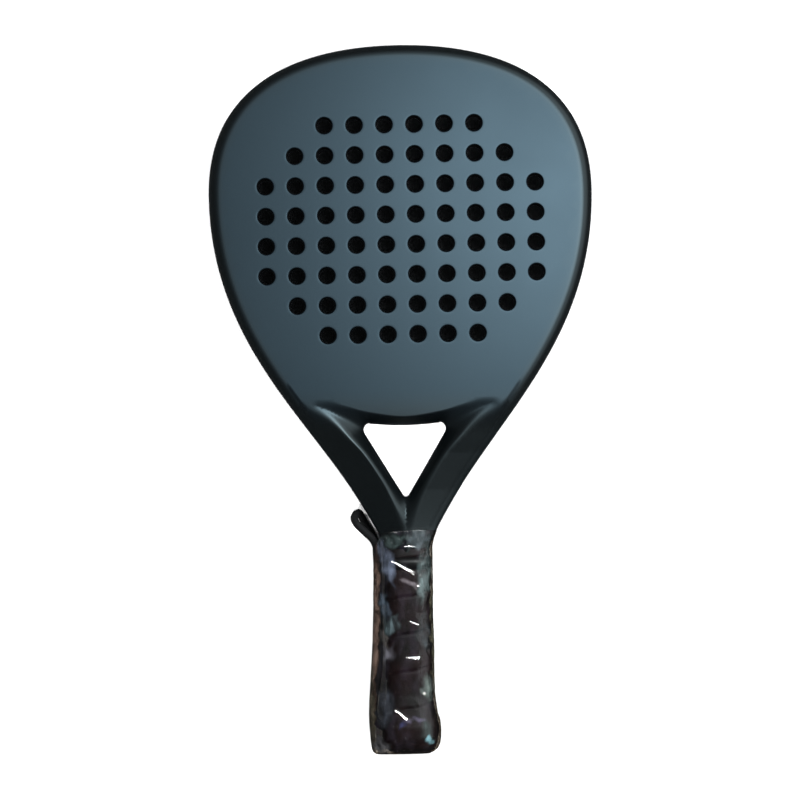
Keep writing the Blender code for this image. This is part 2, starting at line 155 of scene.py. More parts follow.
def paint_material():
    """Satin lacquer: blue-grey on the two faces, near black on the tube, with sprayed grain and mottling.
    The near black, which spreads over the rounded rim and the arms, is partly darker frame paint and partly
    painted shade.
    """
    n = Nodes("painted_carbon")
    face = n.add("ShaderNodeAttribute", attribute_name="face_vs_shaded_rim").outputs["Fac"]
    mottling = n.noise(16.0, 4.0)
    grain = n.noise(2600.0, 2.0)
    weave = n.noise(600.0, 2.0, place=n.stretch((1.0, 0.35, 1.0)))
    cloud = n.ramp(mottling, 0.0, 1.0, 0.3, 0.7)
    faces = n.mix(cloud, (0.006, 0.011, 0.016), (0.009, 0.015, 0.021))
    tube = n.mix(cloud, (0.004, 0.005, 0.0055), (0.0055, 0.007, 0.008))
    # the near-black tone on the rim and arms is partly the frame's darker paint and partly painted shade of
    # the rounded edge and the tilted arms
    tone = n.mix(face, tube, faces)
    speckled = n.mix(n.ramp(grain, 0.0, 0.25, 0.55, 0.75), tone, (0.035, 0.05, 0.062))
    rough = n.math("ADD", n.ramp(face, 0.33, 0.41), n.ramp(mottling, -0.03, 0.03))
    fine = n.bump(grain, 0.10, 0.00004)
    wavy = n.bump(weave, 0.05, 0.00008, fine)
    tint = n.mix(face, (0.80, 0.97, 1.0), (0.58, 0.84, 1.0))
    return n.finish(colour=speckled, roughness=rough, normal=wavy, specular=n.ramp(face, 0.92, 1.0),
                    ior=n.ramp(face, 1.45, 1.5), tint=tint)


def foam_material():
    """Dark closed-cell foam, seen on the air holes' walls."""
    n = Nodes("hole_foam")
    cells = n.add("ShaderNodeTexVoronoi", {"Vector": n.place, "Scale": 1400.0}).outputs["Distance"]
    tone = n.mix(cells, (0.004, 0.005, 0.006), (0.010, 0.012, 0.014))
    return n.finish(colour=tone, roughness=0.9, normal=n.bump(cells, 0.4, 0.0002), specular=0.2)


def grip_material():
    """Dark polyurethane tape: fine leather-like grain and faint reddish blotches that shine less."""
    n = Nodes("grip_polyurethane")
    blotch = n.noise(55.0, 4.0)
    grain = n.add("ShaderNodeTexVoronoi", {"Vector": n.place, "Scale": 1500.0}).outputs["Distance"]
    tone = n.mix(n.ramp(blotch, 0.0, 1.0, 0.35, 0.65), (0.010, 0.006, 0.007), (0.030, 0.010, 0.012))
    return n.finish(colour=tone, roughness=n.ramp(blotch, 0.45, 0.6), normal=n.bump(grain, 0.35, 0.00018),
                    specular=0.45)


# ---------------------------------------------------------------- the moulding's plan
# millimetres from here on
HOLE_PITCH = 19.22
HOLE_RADIUS = 5.25
HOLE_CENTRE_Y = 109.3
HOLE_ROWS = (6, 8, 10, 10, 10, 10, 8, 6)
HOLE_SIDES = 32
HOLE_EDGE_ROUND = 0.7

HALF_WIDTH = HIGH.x / MM
ARM_ANGLE = radians(33.5)
LEG_HALF = 13.0
LEG_END_Y = -216.0
NECK_Y, FACE_Y = -100.0, 14.0    # the arms lie between these two
HEAD_HALF = THICKNESS / 2
EDGE_SPACING, OPENING_SPACING, VALLEY_SPACING = 2.2, 1.3, 1.5


def bezier(start, start_pull, end_pull, end, steps):
    """Points along a cubic curve, without its last one."""
    t = np.linspace(0.0, 1.0, steps, endpoint=False)[:, None]
    s = 1.0 - t
    return (s ** 3 * np.array(start) + 3 * s * s * t * np.array(start_pull)
            + 3 * s * t * t * np.array(end_pull) + t ** 3 * np.array(end))


def outline():
    """The closed outer edge in plan, evenly spaced, clockwise from the tip."""
    along = np.array((-sin(ARM_ANGLE), -cos(ARM_ANGLE)))
    tip, widest = np.array((0.0, TIP_Y)), np.array((HALF_WIDTH, 132.5))
    arm, neck = np.array((37.3, -53.2)), np.array((15.4, -94.0))
    right = np.vstack([
        bezier(tip, tip + (64.6, 0), widest + (0, 72.3), widest, 200),
        bezier(widest, widest - (0, 86.0), arm - along * 62.9, arm, 200),
        bezier(arm, arm, neck + (0, 6.8), neck, 60),
        [neck, (LEG_HALF, -99.0), (LEG_HALF, LEG_END_Y)],
    ])
    return evenly(np.vstack([right, (right * (-1, 1))[:0:-1]]), EDGE_SPACING)


def evenly(loop, spacing):
    """Points at an even spacing round a closed loop."""
    closed = np.vstack([loop, loop[:1]])
    travelled = np.concatenate([[0.0], np.cumsum(np.linalg.norm(np.diff(closed, axis=0), axis=1))])
    count = max(8, round(travelled[-1] / spacing))
    places = np.arange(count) * travelled[-1] / count
    return np.stack([np.interp(places, travelled, closed[:, axis]) for axis in (0, 1)], axis=1)


THROAT_SLOPE = 0.598
THROAT_APEX_Y = -64.2            # where the two straight sides would meet
THROAT_TOP_Y = -13.9             # the upper edge at its corners
THROAT_CENTRE_Y = -16.4          # and at its middle, where it sags
CORNER_RADIUS, APEX_RADIUS = 4.2, 2.0


def fillet(before, corner, after, radius, steps):
    """An arc that rounds one corner of a polygon."""
    first = (before - corner) / np.linalg.norm(before - corner)
    second = (after - corner) / np.linalg.norm(after - corner)
    half = np.arccos(np.clip(first @ second, -1, 1)) / 2
    middle = (first + second) / np.linalg.norm(first + second)
    centre = corner + middle * radius / sin(half)
    start = corner + first * radius / np.tan(half) - centre
    end = corner + second * radius / np.tan(half) - centre
    turns = np.linspace(0.0, 1.0, steps)[:, None]
    arc = start * (1 - turns) + end * turns
    return centre + arc / np.linalg.norm(arc, axis=1)[:, None] * radius


def opening():
    """The throat's opening: straight sides, round corners and a sagging upper edge."""
    corner = np.array(((THROAT_TOP_Y - THROAT_APEX_Y) * THROAT_SLOPE, THROAT_TOP_Y))
    apex = np.array((0.0, THROAT_APEX_Y))
    top_point = np.array((14.0, THROAT_TOP_Y - 1.4))
    x = np.linspace(0.0, corner[0] - 7.0, 24)
    top = np.stack([x, THROAT_CENTRE_Y + (THROAT_TOP_Y - THROAT_CENTRE_Y) * (x / corner[0]) ** 2], axis=1)
    left_side = corner * (-1, 1)
    right = np.vstack([top, fillet(top_point, corner, apex, CORNER_RADIUS, 12),
                       fillet(corner, apex, left_side, APEX_RADIUS, 13)[:7]])
    return evenly(np.vstack([right, (right * (-1, 1))[::-1][:-1]]), OPENING_SPACING)


def hole_centres():
    """The air holes' middles, row by row from the tip."""
    centres = []
    for row, count in enumerate(HOLE_ROWS):
        y = HOLE_CENTRE_Y + ((len(HOLE_ROWS) - 1) / 2 - row) * HOLE_PITCH
        centres += [((column - (count - 1) / 2) * HOLE_PITCH, y) for column in range(count)]
    return np.array(centres)


# the sunken valley round the opening: its ridges run down the arms and meet at the neck,
# and its upper edge ends the flat face
RIDGE = ((57.5, -3.2), (45.8, -13.4), (36.3, -22.4), (25.4, -34.3), (15.9, -48.6), (10.6, -58.5),
         (4.8, -71.5), (1.0, -86.0))
FACE_END = ((50.0, -1.4), (38.0, -4.3), (22.0, -8.2), (0.0, -11.0))
# how far the ridge lies inside the outer edge: y and distance
RIDGE_FROM_EDGE = ((-95.0, 14.0), (-82.0, 17.3), (-58.0, 20.0), (-34.0, 20.0), (-22.0, 18.0),
                   (-12.0, 15.4), (-3.0, 12.5))


def valley():
    """The valley's closed edge: up one ridge, across the face's end, and down the other ridge."""
    right = np.array(RIDGE[::-1] + FACE_END)
    whole = np.vstack([right, (right * (-1, 1))[-2::-1]])
    return evenly(smooth_loop(whole), VALLEY_SPACING)


def smooth_loop(points, steps=10):
    """A closed Catmull-Rom curve through the points."""
    before, start = np.roll(points, 1, axis=0), points
    end, after = np.roll(points, -1, axis=0), np.roll(points, -2, axis=0)
    rows = []
    for t in np.arange(steps) / steps:
        rows.append(0.5 * (2 * start + (end - before) * t
                           + (2 * before - 5 * start + 4 * end - after) * t ** 2
                           + (3 * start - before - 3 * end + after) * t ** 3))
    return np.stack(rows, axis=1).reshape(-1, 2)


def distance_to(points, loop):
    """Distance from each point to a closed loop."""
    start, along = loop, np.roll(loop, -1, axis=0) - loop
    span = (along ** 2).sum(axis=1)
    nearest = np.empty(len(points))
    for first in range(0, len(points), 4000):
        away = points[first:first + 4000, None, :] - start[None]
        share = np.clip((away * along).sum(axis=2) / span, 0.0, 1.0)
        gap = away - along * share[:, :, None]
        nearest[first:first + 4000] = np.sqrt((gap ** 2).sum(axis=2).min(axis=1))
    return nearest


def inside(points, loop):
    """Whether each point is inside a closed loop."""
    x, y = points[:, :1], points[:, 1:]
    x0, y0 = loop.T
    x1, y1 = np.roll(loop, -1, axis=0).T
    with np.errstate(divide="ignore", invalid="ignore"):
        crosses = ((y0 > y) != (y1 > y)) & (x < (x1 - x0) * (y - y0) / (y1 - y0) + x0)
    return crosses.sum(axis=1) % 2 == 1


def smoothstep(value, low, high):
    """A soft step from 0 at low to 1 at high."""
    t = np.clip((value - low) / (high - low), 0.0, 1.0)
    return t * t * (3 - 2 * t)


def smooth_min(first, second, radius):
    """The lower of two heights, with their crossing rounded."""
    share = np.clip(0.5 + 0.5 * (second - first) / radius, 0.0, 1.0)
    return second + (first - second) * share - radius * share * (1 - share)


def quarter_round(distance, radius):
    """How far a rounded edge has dropped at a distance inside it."""
    inward = np.clip(radius - distance, 0.0, radius)
    return radius - np.sqrt(np.maximum(radius ** 2 - inward ** 2, 0.0))


def there_and_back(line):
    """An open line as a closed loop with no inside."""
    return np.vstack([line, line[-2:0:-1]])


def valley_sides(loop):
    """The valley's two edges, parted at its outer corners: the face's end, and the ridges down the arms."""
    first, last = sorted((loop[:, 0].argmax(), loop[:, 0].argmin()))
    return there_and_back(loop[first:last + 1]), there_and_back(np.vstack([loop[last:], loop[:first + 1]]))


OUTLINE, OPENING, VALLEY, HOLES = outline(), opening(), valley(), hole_centres()
VALLEY_SIDES = valley_sides(VALLEY)
NECK_HALF = 14.2                 # half the moulding's thickness at the handle
OUTER_SLOPE = 0.40               # of the arms' outer planes, from the ridge down to the edge
RIM_ROUND, ARM_ROUND = 7.2, 4.5
THROAT_WALL = 8.6                # half the wall's height round the opening


def half_height(points):
    """Half the moulding's thickness at points in plan, mm: face, arms' outer planes, valley and edges."""
    y = points[:, 1]
    edge = distance_to(points, OUTLINE)
    edge[~inside(points, OUTLINE)] *= -1
    throat = distance_to(points, OPENING)
    one, other = (distance_to(points, side) for side in VALLEY_SIDES)
    sunk = smooth_min(one, other, np.clip(0.6 * np.maximum(one, other), 0.01, 4.0))
    sunk = np.where(inside(points, VALLEY), sunk, -np.minimum(one, other))
    ridge = NECK_HALF + (HEAD_HALF - NECK_HALF) * smoothstep(y, NECK_Y, -8.0)
    on_arm = smoothstep(-y, -16.0, 20.0)
    ridge_from_edge = np.interp(y, *zip(*RIDGE_FROM_EDGE))
    outer = ridge + OUTER_SLOPE * on_arm * (edge - ridge_from_edge) + 4.0 * (1 - on_arm)
    share = np.clip(throat / np.maximum(throat + sunk, 0.01), 0.0, 2.0)
    wall = THROAT_WALL * (0.55 + 0.45 * smoothstep(y, NECK_Y, -45.0))
    inner = wall + (ridge - wall) * share ** 0.9 - quarter_round(throat, 1.2)
    rounding = RIM_ROUND + (ARM_ROUND - RIM_ROUND) * on_arm
    cap = ridge - OUTER_SLOPE * on_arm * np.maximum(ridge_from_edge - rounding, 0.0) + 0.25
    rim = cap - quarter_round(edge, rounding) + 0.7 * np.maximum(edge - rounding, 0.0)
    height = smooth_min(outer, inner, 3.4)
    height = smooth_min(height, rim, 0.8)
    height = smooth_min(height, np.full_like(height, HEAD_HALF), 0.8)
    to_hole = np.full(len(points), 99.0)
    near = y > HOLE_CENTRE_Y - 5 * HOLE_PITCH
    away = points[near][:, None, :] - HOLES[None]
    to_hole[near] = np.sqrt((away ** 2).sum(axis=2).min(axis=1))
    return height - quarter_round(to_hole - HOLE_RADIUS, HOLE_EDGE_ROUND)


# ---------------------------------------------------------------- the moulding's mesh
def mesh_object(name, points, faces, *materials):
    """A smooth-shaded object from points in millimetres."""
    mesh = bpy.data.meshes.new(name)
    mesh.from_pydata([tuple(point) for point in np.asarray(points) * MM], [], faces)
    mesh.shade_smooth()
    for material in materials:
        mesh.materials.append(material)
    made = bpy.data.objects.new(name, mesh)
    bpy.context.scene.collection.objects.link(made)
    return made


def beside(loop, distance):
    """A loop's points moved sideways, to the right of its direction."""
    tangent = np.roll(loop, -1, axis=0) - np.roll(loop, 1, axis=0)
    normal = np.stack([tangent[:, 1], -tangent[:, 0]], axis=1)
    normal /= np.linalg.norm(normal, axis=1)[:, None]
    return loop + normal * distance


def plan_points():
    """The loops that bound the plan, and the free points that fill it."""
    circle = np.arange(HOLE_SIDES) * 2 * pi / HOLE_SIDES
    ring = np.stack([np.cos(circle), np.sin(circle)], axis=1)
    loops = [OUTLINE, OPENING] + [centre + ring * HOLE_RADIUS for centre in HOLES]
    free = []
    # rows of points beside every edge, where the surface turns
    for depth in (0.12, 0.4, 0.9, 1.6, 2.5, 3.5, 4.6, 5.8, 7.0, 8.4):
        ring_in = beside(OUTLINE, depth)
        keep = distance_to(ring_in, OUTLINE) > depth * 0.9
        free.append(ring_in[keep])
    for depth in (0.1, 0.35, 0.7, 1.2, 2.0, 3.0):
        free.append(beside(OPENING, -depth))
    for depth in (0.1, 0.3, 0.7, 2.0):
        free += [centre + ring * (HOLE_RADIUS + depth) for centre in HOLES]
    for depth in (-1.5, -0.9, -0.4, 0.0, 0.4, 0.9, 1.5):
        row = beside(VALLEY, depth)
        free.append(row[distance_to(row, VALLEY) >= abs(depth) * 0.9])
    # fine on the arms and round the opening, and coarse on the flat face and the handle's legs
    fine = hexagonal(1.5, NECK_Y, FACE_Y, 9.0, 3.2)
    free.append(fine[distance_to(fine, VALLEY) > 2.2])
    free.append(hexagonal(7.0, FACE_Y, TIP_Y, 9.5, 2.6))
    free.append(hexagonal(9.0, LEG_END_Y, NECK_Y, 9.5, 2.6))
    return loops, np.vstack(free)


def hexagonal(spacing, low_y, high_y, from_edge, from_holes):
    """A triangular grid of points, kept clear of the edges and holes."""
    rows = np.arange(low_y, high_y, spacing * 0.866)
    grid = [(x + (spacing / 2 if number % 2 else 0.0), y) for number, y in enumerate(rows)
            for x in np.arange(-HALF_WIDTH, HALF_WIDTH, spacing)]
    grid = np.array(grid)
    grid = grid[inside(grid, OUTLINE) & ~inside(grid, OPENING)]
    gap = np.sqrt(((grid[:, None, :] - HOLES[None]) ** 2).sum(axis=2).min(axis=1))
    clear = (distance_to(grid, OUTLINE) > from_edge) & (distance_to(grid, OPENING) > from_holes)
    return grid[clear & (gap > HOLE_RADIUS + from_holes)]


def make_moulding(paint, foam):
    """Front and rear of the moulding, its outer wall, its opening's wall and its air holes."""
    loops, free = plan_points()
    points, edges = [], []
    for loop in loops:
        first = len(points)
        points += [Vector(point) for point in loop]
        edges += [(first + i, first + (i + 1) % len(loop)) for i in range(len(loop))]
    bounding = len(points)
    points += [Vector(point) for point in free]
    flat, _, triangles, came_from, _, _ = delaunay_2d_cdt(points, edges, [], 0, 1e-5)
    flat = np.array([tuple(point) for point in flat])
    if any(index not in came_from[index] for index in range(bounding)):
        raise ValueError("the triangulation moved a bounding point")
    triangles = np.array(triangles)
    middle = flat[triangles].mean(axis=1)
    solid = inside(middle, OUTLINE) & ~inside(middle, OPENING)
    gap = np.sqrt(((middle[:, None, :] - HOLES[None]) ** 2).sum(axis=2).min(axis=1))
    triangles = triangles[solid & (gap > HOLE_RADIUS * cos(pi / HOLE_SIDES) - 0.01)]
    height = half_height(flat)
    count = len(flat)
    top = np.column_stack([flat, MID_Z + height])
    bottom = np.column_stack([flat, MID_Z - height])
    faces = [tuple(row) for row in triangles] + [tuple(row[::-1] + count) for row in triangles]
    kinds = [0] * len(faces)
    first = 0
    for number, loop in enumerate(loops):
        for i in range(len(loop)):
            here, after = first + i, first + (i + 1) % len(loop)
            wall = (here, after, after + count, here + count)
            faces.append(wall if number == 0 else wall[::-1])
            kinds.append(0 if number < 2 else 1)
        first += len(loop)
    made = mesh_object("racket_moulding", np.vstack([top, bottom]), faces, paint, foam)
    made.data.polygons.foreach_set("material_index", kinds)
    # 1 on the flat faces, 0 within 3 mm of the outer edge and below the face's end: the dark rim this gives
    # is partly painted shade of its rounding
    share = smoothstep(distance_to(flat, OUTLINE), 3.0, 10.0) * smoothstep(flat[:, 1], -22.0, 10.0)
    tint = made.data.attributes.new("face_vs_shaded_rim", "FLOAT", "POINT")
    tint.data.foreach_set("value", np.tile(share, 2).astype(np.float32))
    outward = bmesh.new()
    outward.from_mesh(made.data)
    bmesh.ops.recalc_face_normals(outward, faces=outward.faces)
    outward.to_mesh(made.data)
    outward.free()
    set_normals(made.data, flat, height, bounding, loops)
    return made


def set_normals(mesh, flat, height, bounding, loops):
    """Smooth normals from the surface's own slope, and level ones along the walls."""
    step = 0.12
    slope_x = (half_height(flat + (step, 0)) - half_height(flat - (step, 0))) / (2 * step)
    slope_y = (half_height(flat + (0, step)) - half_height(flat - (0, step))) / (2 * step)
    normal = np.column_stack([-slope_x, -slope_y, np.ones(len(flat))])
    first = 0
    for number, loop in enumerate(loops):
        tangent = np.roll(loop, -1, axis=0) - np.roll(loop, 1, axis=0)
        side = 1.0 if number else -1.0
        level = np.column_stack([side * tangent[:, 1], -side * tangent[:, 0], np.zeros(len(loop))])
        if number > 1:
            level = -level
        normal[first:first + len(loop)] = level
        first += len(loop)
    normal /= np.linalg.norm(normal, axis=1)[:, None]
    both = np.vstack([normal, normal * (1, 1, -1)])
    mesh.normals_split_custom_set_from_vertices([tuple(row) for row in both])


# ---------------------------------------------------------------- handle, wrapped in film
HANDLE_POWER = 0.62              # 1 gives an ellipse, and less a squarer section


def handle_outline(turn, half_x, half_z):
    """The handle's rounded square section, at the given turns."""
    x = half_x * np.abs(np.cos(turn)) ** HANDLE_POWER * np.sign(np.cos(turn))
    z = half_z * np.abs(np.sin(turn)) ** HANDLE_POWER * np.sign(np.sin(turn))
    return x, z


# the grip's half width up the handle: y and half width
GRIP_STATIONS = ((-226.6, 12.4), (-225.8, 14.2), (-224.2, 15.8), (-221.6, 17.2), (-217.5, 18.2),
                 (-211.0, 18.5), (-203.0, 17.3), (-197.0, 16.0), (-190.0, 15.2), (-150.0, 15.1),
                 (-104.0, 15.1), (-98.0, 15.0), (-95.4, 14.6))
GRIP_FLATTER = 1.3               # how much less it is from front to rear
GRIP_ROW = 0.8
WRAP_PITCH = 24.0
LAP_HEIGHT = 0.55


def grip_half(y):
    return np.interp(y, *zip(*GRIP_STATIONS))


def wrap_relief(y, turn):
    """The tape's spiral: each turn laps over the last, with a soft groove beside the lap."""
    phase = (y / WRAP_PITCH + turn / (2 * pi)) % 1.0
    lap = LAP_HEIGHT * smoothstep(phase, 0.0, 0.06) * (1 - smoothstep(phase, 0.1, 0.9))
    before, after = (np.exp(-((phase - middle) / 0.035) ** 2) for middle in (0.98, -0.02))
    return lap + (-LAP_HEIGHT * before - LAP_HEIGHT * after)


def tube_mesh(name, rings, material, close_low=False, close_high=False):
    """A quad skin over equal rings of points, with optional end caps."""
    count = len(rings[0])
    points = np.vstack(rings)
    faces = []
    for row in range(len(rings) - 1):
        for side in range(count):
            after = (side + 1) % count
            faces.append((row * count + side, row * count + after,
                          (row + 1) * count + after, (row + 1) * count + side))
    if close_low:
        faces.append(tuple(reversed(range(count))))
    if close_high:
        faces.append(tuple(range((len(rings) - 1) * count, len(rings) * count)))
    return mesh_object(name, points, faces, material)


def make_grip(material):
    """The taped grip: a sleeve with the tape's spiral on it, turned in at both ends."""
    turns = np.linspace(0.0, 2 * pi, 160, endpoint=False)
    rings = []
    for y in np.arange(GRIP_STATIONS[0][0], -95.3, GRIP_ROW):
        half = float(grip_half(y))
        relief = wrap_relief(y, turns) * smoothstep(y, -226.0, -219.0) * (1 - smoothstep(y, -100.0, -96.0))
        x, z = handle_outline(turns, half, half - GRIP_FLATTER)
        scale = 1.0 + (relief - 0.35) / half
        rings.append(np.stack([x * scale, np.full_like(x, y), MID_Z + z * scale], axis=1))
    inner = [(ring - (0, 0, MID_Z)) * (0.86, 1, 0.86) + (0, 0, MID_Z) for ring in (rings[-1], rings[0])]
    return tube_mesh("grip_wrap", [inner[0]] + rings[::-1] + [inner[1]], material)


def make_finishing_band(material):
    """The tape that holds the grip's upper end."""
    turns = np.linspace(0.0, 2 * pi, 128, endpoint=False)
    rings = []
    for y, lift in ((-109.0, 0.05), (-108.9, 0.35), (-105.0, 0.38), (-101.1, 0.35), (-101.0, 0.05)):
        half = grip_half(-104.0) + lift
        x, z = handle_outline(turns, half, half - GRIP_FLATTER)
        rings.append(np.stack([x, np.full_like(x, y), MID_Z + z], axis=1))
    return tube_mesh("finishing_band", rings[::-1], material)


CAP_STATIONS = ((-198.0, 13.9), (-203.0, 14.6), (-211.0, 15.6), (-219.0, 15.6), (-223.0, 14.4),
                (-225.6, 12.8), (-226.9, 11.2), (-226.9, 10.4), (-226.3, 9.8), (-226.3, 5.0),
                (-226.7, 4.4), (-226.7, 3.0), (-226.1, 2.6), (-222.0, 2.6))
CAP_ROUND_BELOW = 5.5            # the ring and the hole at its middle are round


def make_cap(material):
    """The butt cap: its flared cup is under the grip, and its end shows, with a ring and a cord hole."""
    turns = np.linspace(0.0, 2 * pi, 96, endpoint=False)
    rings = []
    for y, half in CAP_STATIONS:
        flatter = min(GRIP_FLATTER, max(0.0, half - 4.4) * 0.2)
        x, z = handle_outline(turns, half, half - flatter)
        if half < CAP_ROUND_BELOW:
            x, z = half * np.cos(turns), half * np.sin(turns)
        rings.append(np.stack([x, np.full_like(x, y), MID_Z + z], axis=1))
    return tube_mesh("butt_end", rings, material)


# ---------------------------------------------------------------- wrist cord
CORD_DIAMETER = 5.0
BRAID_PITCH = 7.0
BRAID_HEIGHT = 0.16
CORD_ROUTE = (
    (-10.5, -210.8, 21.9), (-13.5, -210.8, 21.9), (-18.5, -209.5, 21.9), (-22.1, -205.8, 21.9),
    (-23.5, -200.8, 21.9), (-22.9, -192.0, 21.8), (-21.0, -182.0, 21.8), (-19.3, -168.0, 21.7),
    (-19.0, -150.0, 21.7), (-19.0, -130.0, 21.7), (-19.0, -112.0, 21.7), (-19.1, -102.0, 22.0),
    (-19.5, -95.4, 23.2), (-22.0, -89.2, 25.8), (-27.4, -83.9, 28.0), (-31.6, -79.6, 28.2),
    (-33.4, -76.0, 24.8), (-32.7, -73.2, 19.4), (-30.8, -72.2, 14.0), (-29.4, -73.8, 10.4),
    (-27.0, -78.4, 8.9), (-23.7, -83.6, 10.2), (-21.0, -88.8, 12.9), (-19.4, -94.4, 15.0),
    (-19.2, -101.0, 16.0), (-19.0, -112.0, 16.3), (-19.0, -130.0, 16.3), (-19.0, -150.0, 16.3),
    (-19.3, -168.0, 16.3), (-21.0, -182.0, 16.2), (-22.9, -192.0, 16.2), (-23.5, -200.8, 16.1),
    (-22.1, -205.8, 16.1), (-18.5, -209.5, 16.1), (-13.5, -210.8, 16.1), (-10.5, -210.8, 16.1),
)


def smooth_route(route, steps=16):
    """Points on a Catmull-Rom curve through the route's points."""
    places = np.array(route)
    places = np.vstack([2 * places[0] - places[1], places, 2 * places[-1] - places[-2]])
    fine = []
    for before, start, end, after in zip(places, places[1:], places[2:], places[3:]):
        for t in np.arange(steps) / steps:
            fine.append(0.5 * (2 * start + (end - before) * t
                               + (2 * before - 5 * start + 4 * end - after) * t * t
                               + (3 * start - before - 3 * end + after) * t ** 3))
    return np.array(fine + [places[-2]])


def sweep(line, radius_at, sides):
    """Rings round a line, carried along it without twist."""
    along = np.gradient(line, axis=0)
    along /= np.linalg.norm(along, axis=1)[:, None]
    across = np.cross(along[0], (0.0, 0.0, 1.0))
    across /= np.linalg.norm(across)
    turns = np.linspace(0.0, 2 * pi, sides, endpoint=False)
    rings = []
    for index, (point, ahead) in enumerate(zip(line, along)):
        across = across - ahead * (across @ ahead)
        across /= np.linalg.norm(across)
        other = np.cross(ahead, across)
        radius = radius_at(index, turns)[:, None]
        rings.append(point + radius * (np.cos(turns)[:, None] * across + np.sin(turns)[:, None] * other))
    return rings


def make_cord(material):
    """The braided cord: eight strands, four each way, cross over each other."""
    line = smooth_route(CORD_ROUTE)
    travelled = np.concatenate([[0.0], np.cumsum(np.linalg.norm(np.diff(line, axis=0), axis=1))])
    count = round(travelled[-1] / 0.34)
    places = np.linspace(0.0, travelled[-1], count)
    line = np.stack([np.interp(places, travelled, line[:, axis]) for axis in range(3)], axis=1)

    def radius_at(index, turns):
        rise = 2 * pi * places[index] / BRAID_PITCH
        one = np.cos(4 * turns + 4 * rise)
        two = np.cos(4 * turns - 4 * rise)
        return CORD_DIAMETER / 2 - BRAID_HEIGHT + BRAID_HEIGHT * np.maximum(one, two)

    rings = sweep(line, radius_at, 28)
    made = tube_mesh("wrist_cord_braid", rings, material, close_low=True, close_high=True)
    path = [tuple(point * MM) for point in line[::6]] + [tuple(line[-1] * MM)]
    return made, path, travelled[-1] * MM


# ---------------------------------------------------------------- film
FILM_STATIONS = (
    # y, left, right, half depth
    (-83.5, 21.6, 19.3, 15.6), (-88.0, 21.7, 17.6, 15.3), (-94.0, 21.9, 16.3, 15.0),
    (-104.0, 21.9, 16.0, 14.9), (-123.0, 22.1, 15.9, 14.9), (-150.0, 22.9, 15.9, 14.9),
    (-165.0, 23.8, 15.9, 15.0), (-182.0, 25.2, 15.9, 15.1), (-188.0, 25.6, 16.1, 15.5),
    (-194.0, 26.0, 16.6, 16.1), (-202.0, 26.4, 17.8, 17.0), (-206.0, 26.4, 19.2, 17.5),
    (-210.0, 26.3, 19.6, 17.9),
    (-217.0, 25.8, 19.4, 17.8), (-221.0, 25.4, 18.8, 17.1), (-224.2, 24.9, 17.2, 15.5),
    (-226.2, 24.2, 15.0, 13.2), (-227.4, 22.4, 12.4, 10.8),
)
# bright creases: both ends (x, y), half width and height; each has its lit flank towards the tip
CREASES = (
    ((-11.0, -103.9), (4.4, -113.2), 1.25, 0.78), ((-8.0, -109.0), (-4.0, -112.2), 0.75, 0.50),
    ((-3.2, -94.8), (6.0, -95.2), 0.9, 0.54), ((5.6, -119.8), (7.4, -121.4), 1.1, 0.58),
    ((-0.8, -142.8), (7.0, -145.6), 1.0, 0.62), ((-3.4, -167.6), (7.2, -168.2), 2.4, 1.0),
    ((-10.2, -199.6), (-2.0, -206.8), 1.4, 0.70), ((-9.0, -201.8), (-5.8, -206.2), 1.2, 0.62),
    ((13.6, -168.8), (14.8, -173.6), 0.8, 0.40), ((12.6, -100.6), (10.4, -104.8), 0.55, 0.46),
    ((9.8, -105.0), (7.6, -109.8), 0.6, 0.50), ((6.9, -110.4), (5.8, -115.2), 0.5, 0.38),
    ((8.6, -189.4), (15.6, -193.0), 0.8, 0.36), ((7.0, -184.0), (9.4, -181.6), 0.7, 0.36),
    ((10.6, -186.6), (13.4, -183.6), 0.6, 0.30), ((12.8, -146.4), (15.2, -153.0), 0.6, 0.34),
)
# long soft folds that the film takes between its tight places
FOLDS = (
    ((-18.0, -97.0), (-13.0, -124.0), 1.5, 0.6), ((-19.0, -130.0), (-8.0, -152.0), 2.4, 0.6),
    ((-18.0, -166.0), (-10.0, -180.0), 2.2, 0.6), ((-18.5, -184.0), (-14.0, -206.0), 2.2, 0.6),
    ((14.5, -122.0), (8.0, -136.0), 2.0, 0.5), ((14.0, -148.0), (10.0, -160.0), 1.8, 0.5),
    ((-14.0, -221.0), (-3.0, -217.0), 2.0, 0.4), ((-20.0, -150.0), (-14.0, -166.0), 1.4, 0.5),
    ((-21.0, -108.0), (-16.0, -132.0), 1.2, 0.5), ((-15.0, -86.0), (-10.0, -93.0), 0.9, 0.16),
    ((-10.0, -86.0), (-6.0, -92.5), 0.7, 0.14),
)
# tightly crinkled patches: middle (x, y) and half sizes
CRINKLES = ((11.5, -111.0, 5.5, 17.0), (11.5, -184.0, 5.5, 8.0), (-8.0, -89.0, 10.0, 5.0),
            (8.0, -88.0, 9.0, 4.0), (-12.0, -214.0, 6.0, 8.0), (13.5, -160.0, 3.5, 12.0))
